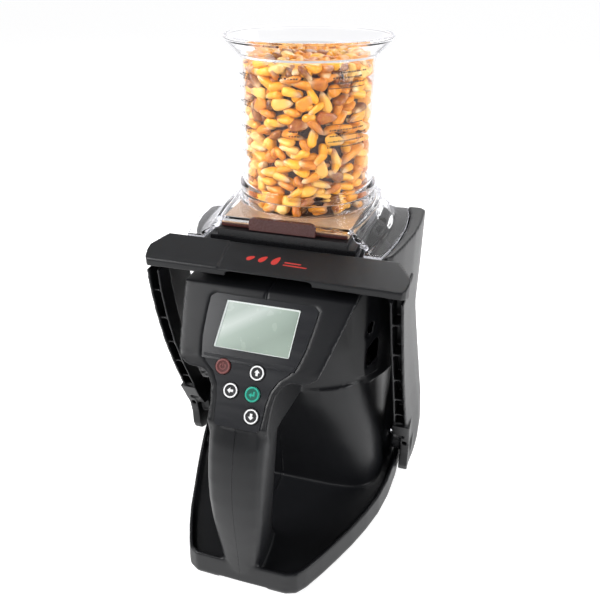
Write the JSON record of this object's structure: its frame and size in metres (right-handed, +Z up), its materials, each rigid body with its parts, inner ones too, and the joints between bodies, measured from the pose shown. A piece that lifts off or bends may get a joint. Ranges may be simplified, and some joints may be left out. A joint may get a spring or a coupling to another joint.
{
  "type": "grain moisture meter",
  "caption": "Portable grain moisture meter: display head on a grip column, round housing with a weighed test cell, swinging bail frame and clear loading cup with a sliding shutter.",
  "frame": {"origin": "bottom centre of the whole object, on the surface that its feet stand on", "axes": "+Z up through the loading cup, -Y towards the user (display and grip side), +X to the object's right as seen by the user"},
  "size_m": [0.1688, 0.204, 0.2845],
  "materials": {
    "shell": "fine moulded texture, semi-matt black",
    "bail": "fine moulded texture, semi-matt black",
    "dark_plastic": "satin black",
    "clear_plastic": "clear moulded polycarbonate, glossy",
    "window": "clear window, glossy",
    "grain": "dry grain kernels",
    "shutter_plastic": "satin dark brown-black",
    "lcd": "pale grey-green display",
    "overlay": "satin-gloss film",
    "circuit_board": "green solder mask",
    "key_red": "dull red rubber key",
    "key_green": "green rubber key",
    "key_black": "black rubber key with a white ring",
    "steel": "plated steel",
    "aluminium": "milled",
    "brass": "satin",
    "cell_plastic": "grey moulded plastic",
    "rubber": "soft matt rubber",
    "battery": null
  },
  "bodies": {
    "body": {"body_shell_right": "shell", "body_shell_left": "shell", "bottom_cover": "shell", "foot_front_left": "rubber", "foot_front_right": "rubber", "foot_rear_left": "rubber", "foot_rear_right": "rubber", "cover_screw_front_left": "steel", "cover_screw_front_right": "steel", "cover_screw_rear_left": "steel", "cover_screw_rear_right": "steel", "battery_tray": "dark_plastic", "battery_1": "battery", "battery_2": "battery", "battery_3": "battery", "battery_4": "battery", "battery_contact_plate": "brass", "chassis_plate": "aluminium", "load_cell_foot": "aluminium", "load_cell": "aluminium", "cell_stand": "aluminium", "test_cell": "cell_plastic", "ring_electrode": "brass", "floor_electrode": "brass", "inlet_ring": "dark_plastic", "temperature_probe": "steel", "keypad_overlay": "overlay", "display_window": "window", "display_module": "lcd", "main_board": "circuit_board", "buzzer": "dark_plastic", "keypad_board": "circuit_board"},
    "bail": {"bail_arm_right": "bail", "bail_arm_left": "bail", "bail_bar": "bail", "pivot_pin_left": "steel", "pivot_pin_right": "steel"},
    "loader": {"hopper_hood": "clear_plastic", "slide_frame": "dark_plastic", "loading_cup": "clear_plastic", "grain_charge": "grain"},
    "shutter": {"shutter_plate": "shutter_plastic"},
    "battery_cover": {"battery_door": "shell"},
    "power_button": {"power_key": "key_red"},
    "up_button": {"up_key": "key_black"},
    "left_button": {"left_key": "key_black"},
    "enter_button": {"enter_key": "key_green"},
    "down_button": {"down_key": "key_black"}
  },
  "joints": [
    {"name": "bail_swing", "type": "hinge", "parent": "body", "child": "bail", "pos_m": [0, 0.0268, 0.03], "axis": [1, 0, 0], "range_deg": [0, 58]},
    {"name": "loader_lift", "type": "slide", "parent": "body", "child": "loader", "axis": [0, 0, 1], "range_m": [0, 0.11]},
    {"name": "shutter_slide", "type": "slide", "parent": "loader", "child": "shutter", "axis": [0, -1, 0], "range_m": [0, 0.074]},
    {"name": "battery_cover_release", "type": "slide", "parent": "body", "child": "battery_cover", "axis": [0, 1, 0], "range_m": [0, 0.03]},
    {"name": "power_press", "type": "slide", "parent": "body", "child": "power_button", "axis": [0, 0.8125, -0.583], "range_m": [0, 0.0006], "stiffness_N_per_m": 2500},
    {"name": "up_press", "type": "slide", "parent": "body", "child": "up_button", "axis": [0, 0.8125, -0.583], "range_m": [0, 0.0006], "stiffness_N_per_m": 2500},
    {"name": "left_press", "type": "slide", "parent": "body", "child": "left_button", "axis": [0, 0.8125, -0.583], "range_m": [0, 0.0006], "stiffness_N_per_m": 2500},
    {"name": "enter_press", "type": "slide", "parent": "body", "child": "enter_button", "axis": [0, 0.8125, -0.583], "range_m": [0, 0.0006], "stiffness_N_per_m": 2500},
    {"name": "down_press", "type": "slide", "parent": "body", "child": "down_button", "axis": [0, 0.8125, -0.583], "range_m": [0, 0.0006], "stiffness_N_per_m": 2500}
  ]
}
